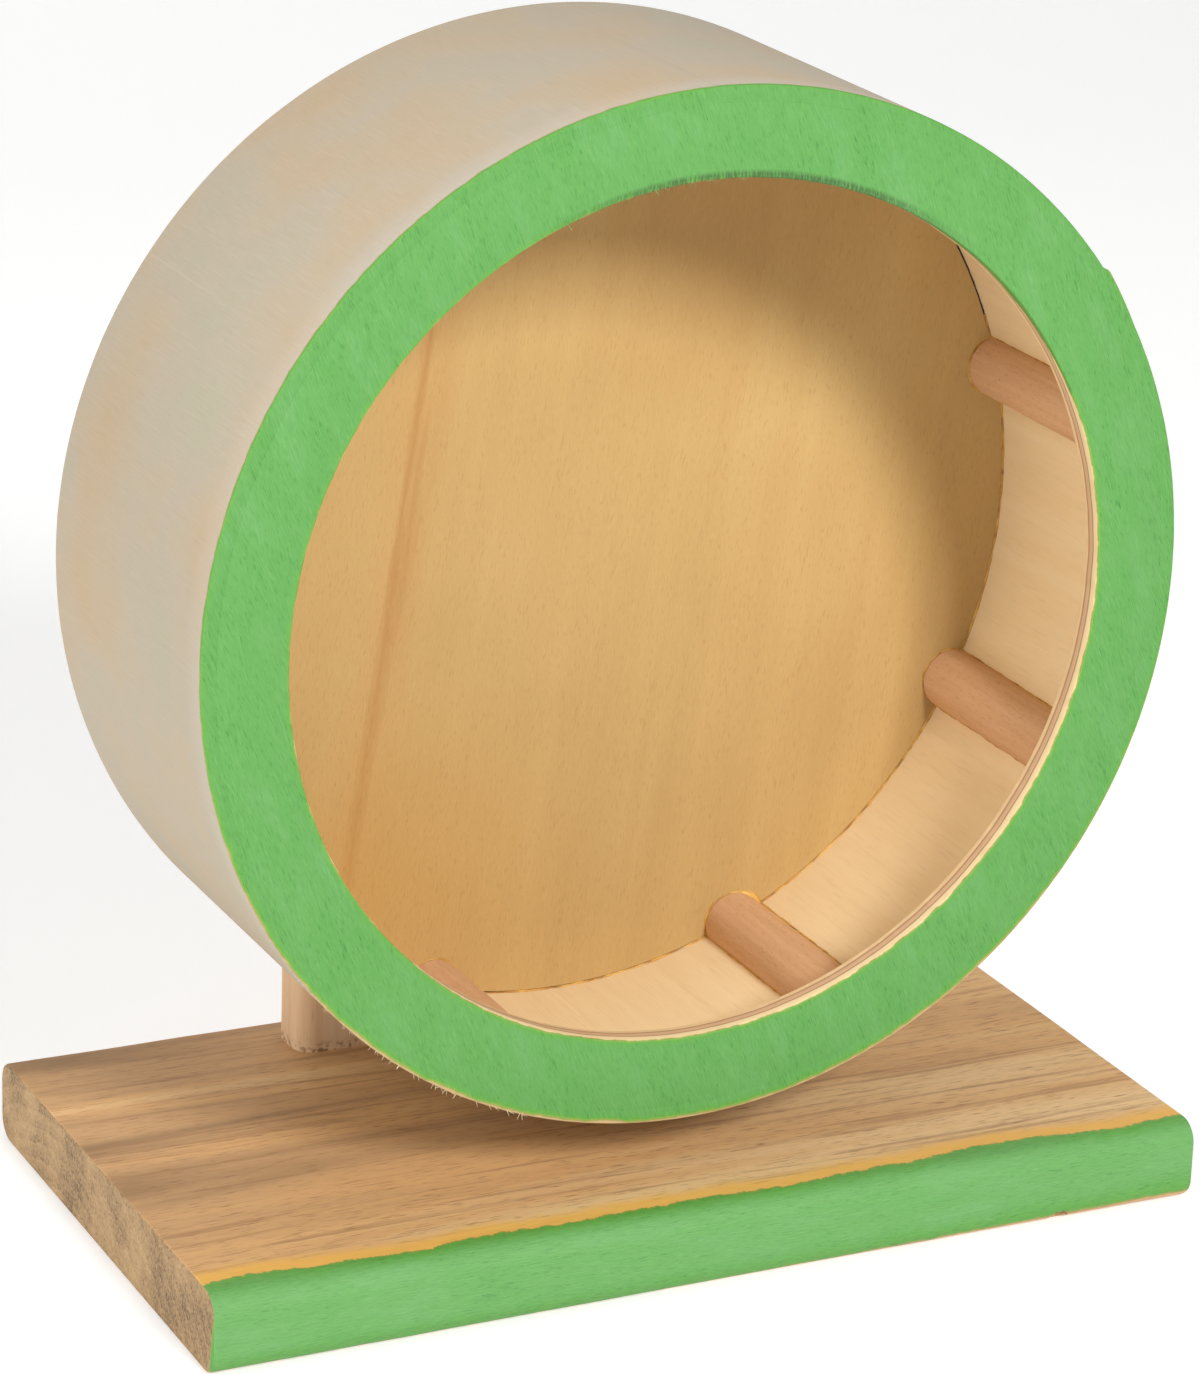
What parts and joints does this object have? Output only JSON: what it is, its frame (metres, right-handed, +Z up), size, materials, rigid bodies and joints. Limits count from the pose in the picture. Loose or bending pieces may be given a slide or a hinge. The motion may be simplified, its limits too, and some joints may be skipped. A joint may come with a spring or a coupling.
{
  "type": "rodent exercise wheel",
  "caption": "Wooden running wheel for small rodents: a ply drum with a painted front ring and inner rungs, free to spin on a ball bearing on a flat base with an upright.",
  "frame": {"origin": "centre of the base board's underside", "axes": "+Z up, +Y from the open front of the wheel towards the upright, along the axle, +X to the right seen from the front, along the base board"},
  "size_m": [0.207, 0.1176, 0.2275],
  "materials": {
    "base_pine": "sawn and sanded pine, front edge stained apple green",
    "upright_pine": "planed pine with rounded edges, oiled",
    "painted_ring_plywood": "three-layer plywood, face painted apple green",
    "rim_plywood": "thin bent plywood, pale and dry outside, cream inside",
    "disc_plywood": "honey-coloured plywood, satin",
    "rung_beech": "steamed beech half-round moulding",
    "hub_beech": "turned beech, bare",
    "zinc_steel": "bright zinc plate",
    "bearing_steel": "ground and polished",
    "bearing_cage_steel": "pressed sheet steel"
  },
  "bodies": {
    "stand": {"base_board": "base_pine", "upright": "upright_pine", "base_screws": "zinc_steel", "axle_bolt": "zinc_steel", "axle_nut": "zinc_steel", "rear_washer": "zinc_steel", "spacer_ring": "zinc_steel", "bearing_inner_race": "bearing_steel"},
    "wheel": {"front_ring": "painted_ring_plywood", "rim_band": "rim_plywood", "back_disc": "disc_plywood", "hub_block": "hub_beech", "rung_1": "rung_beech", "rung_2": "rung_beech", "rung_3": "rung_beech", "rung_4": "rung_beech", "rung_5": "rung_beech", "rung_6": "rung_beech", "rung_7": "rung_beech", "rung_8": "rung_beech", "rung_9": "rung_beech", "bearing_outer_race": "bearing_steel", "bearing_front_shield": "bearing_cage_steel", "bearing_rear_shield": "bearing_cage_steel"},
    "ball_cage": {"bearing_balls": "bearing_steel", "bearing_cage": "bearing_cage_steel"}
  },
  "joints": [
    {"name": "wheel_spin", "type": "hinge", "parent": "stand", "child": "wheel", "pos_m": [0, 0, 0.1275], "axis": [0, 1, 0], "continuous": true},
    {"name": "ball_cage_turn", "type": "hinge", "parent": "stand", "child": "ball_cage", "pos_m": [0, 0, 0.1275], "axis": [0, 1, 0], "continuous": true}
  ],
  "couplings": [
    {"joint": "ball_cage_turn", "follows": "wheel_spin", "ratio": 0.6384}
  ]
}
